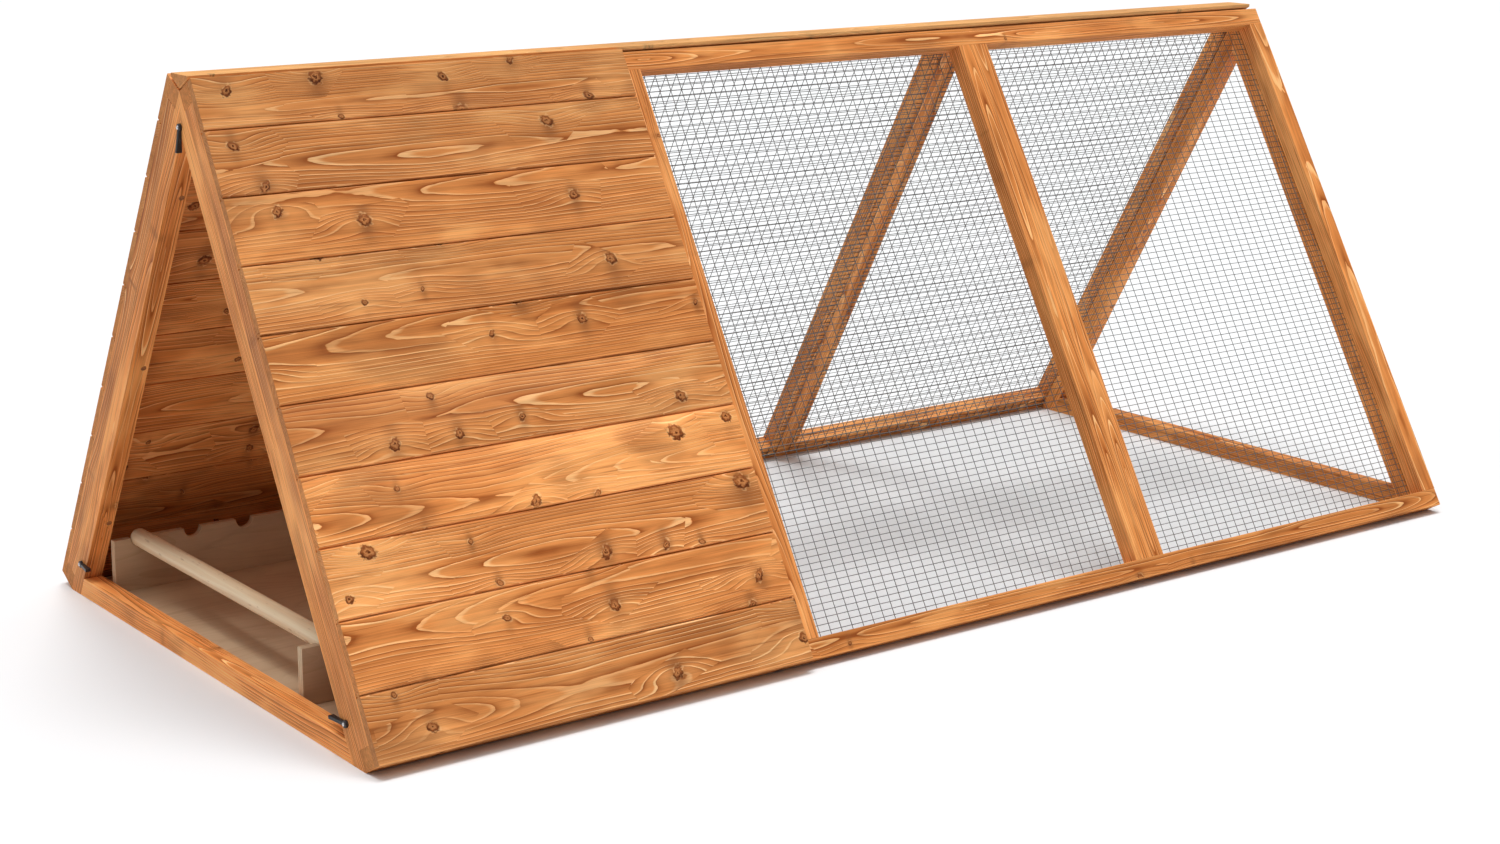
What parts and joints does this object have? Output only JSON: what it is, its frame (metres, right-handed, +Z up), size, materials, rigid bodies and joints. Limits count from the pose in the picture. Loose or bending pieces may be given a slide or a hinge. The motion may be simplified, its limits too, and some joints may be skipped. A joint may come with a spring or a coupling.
{
  "type": "chicken coop",
  "caption": "A-frame poultry house and run: boarded house at one end, welded-mesh run behind it, open triangular ends, nest with a lift-out perch and turn buttons at the door.",
  "frame": {"origin": "centre of the footprint, on the ground", "axes": "+X from the door end to the run end, -Y the near side, +Z up"},
  "size_m": [1.9777, 0.9662, 0.7988],
  "materials": {
    "frame_timber": "planed softwood battens with a warm brown translucent stain, satin",
    "cladding": "tongued and grooved softwood boards with a warm brown translucent stain, visible grain and knots",
    "plywood": "bare plywood, pale edges",
    "perch_wood": "smooth turned hardwood dowel, unfinished",
    "wire": "galvanised welded wire",
    "button_black": "black satin coating",
    "screw_steel": "bright zinc-plated steel"
  },
  "bodies": {
    "coop": {"near_bottom_rails": "frame_timber", "near_top_rails": "frame_timber", "near_door_stile": "frame_timber", "near_house_stile": "frame_timber", "near_first_bay_stile": "frame_timber", "near_middle_stile": "frame_timber", "near_second_bay_stile": "frame_timber", "near_end_stile": "frame_timber", "near_board_01": "cladding", "near_board_02": "cladding", "near_board_03": "cladding", "near_board_04": "cladding", "near_board_05": "cladding", "near_board_06": "cladding", "near_board_07": "cladding", "near_board_08": "cladding", "near_board_09": "cladding", "near_board_10": "cladding", "near_mesh_bay_1": "wire", "near_mesh_bay_2": "wire", "near_door_rafter": "frame_timber", "near_end_rafter": "frame_timber", "far_bottom_rails": "frame_timber", "far_top_rails": "frame_timber", "far_door_stile": "frame_timber", "far_house_stile": "frame_timber", "far_first_bay_stile": "frame_timber", "far_middle_stile": "frame_timber", "far_second_bay_stile": "frame_timber", "far_end_stile": "frame_timber", "far_board_01": "cladding", "far_board_02": "cladding", "far_board_03": "cladding", "far_board_04": "cladding", "far_board_05": "cladding", "far_board_06": "cladding", "far_board_07": "cladding", "far_board_08": "cladding", "far_board_09": "cladding", "far_board_10": "cladding", "far_mesh_bay_1": "wire", "far_mesh_bay_2": "wire", "far_door_rafter": "frame_timber", "far_end_rafter": "frame_timber", "ridge_bar": "frame_timber", "door_sill": "frame_timber", "end_sill": "frame_timber", "nest_floor": "plywood", "near_nest_panel": "plywood", "far_nest_panel": "plywood", "button_screws": "screw_steel", "corner_screws": "screw_steel", "coupling_screws": "screw_steel", "rafter_screws": "screw_steel"},
    "perch": {"perch": "perch_wood"},
    "top_button": {"top_turn_button": "button_black"},
    "near_button": {"near_turn_button": "button_black"},
    "far_button": {"far_turn_button": "button_black"}
  },
  "joints": [
    {"name": "perch_lift", "type": "slide", "parent": "coop", "child": "perch", "axis": [0, 0, 1], "range_m": [0, 0.05]},
    {"name": "top_button_turn", "type": "hinge", "parent": "coop", "child": "top_button", "pos_m": [-0.98265, 0, 0.73082], "axis": [1, 0, 0], "continuous": true},
    {"name": "near_button_turn", "type": "hinge", "parent": "coop", "child": "near_button", "pos_m": [-0.98265, -0.40388, 0.04929], "axis": [1, 0, 0], "continuous": true},
    {"name": "far_button_turn", "type": "hinge", "parent": "coop", "child": "far_button", "pos_m": [-0.98265, 0.40388, 0.04929], "axis": [1, 0, 0], "continuous": true}
  ]
}
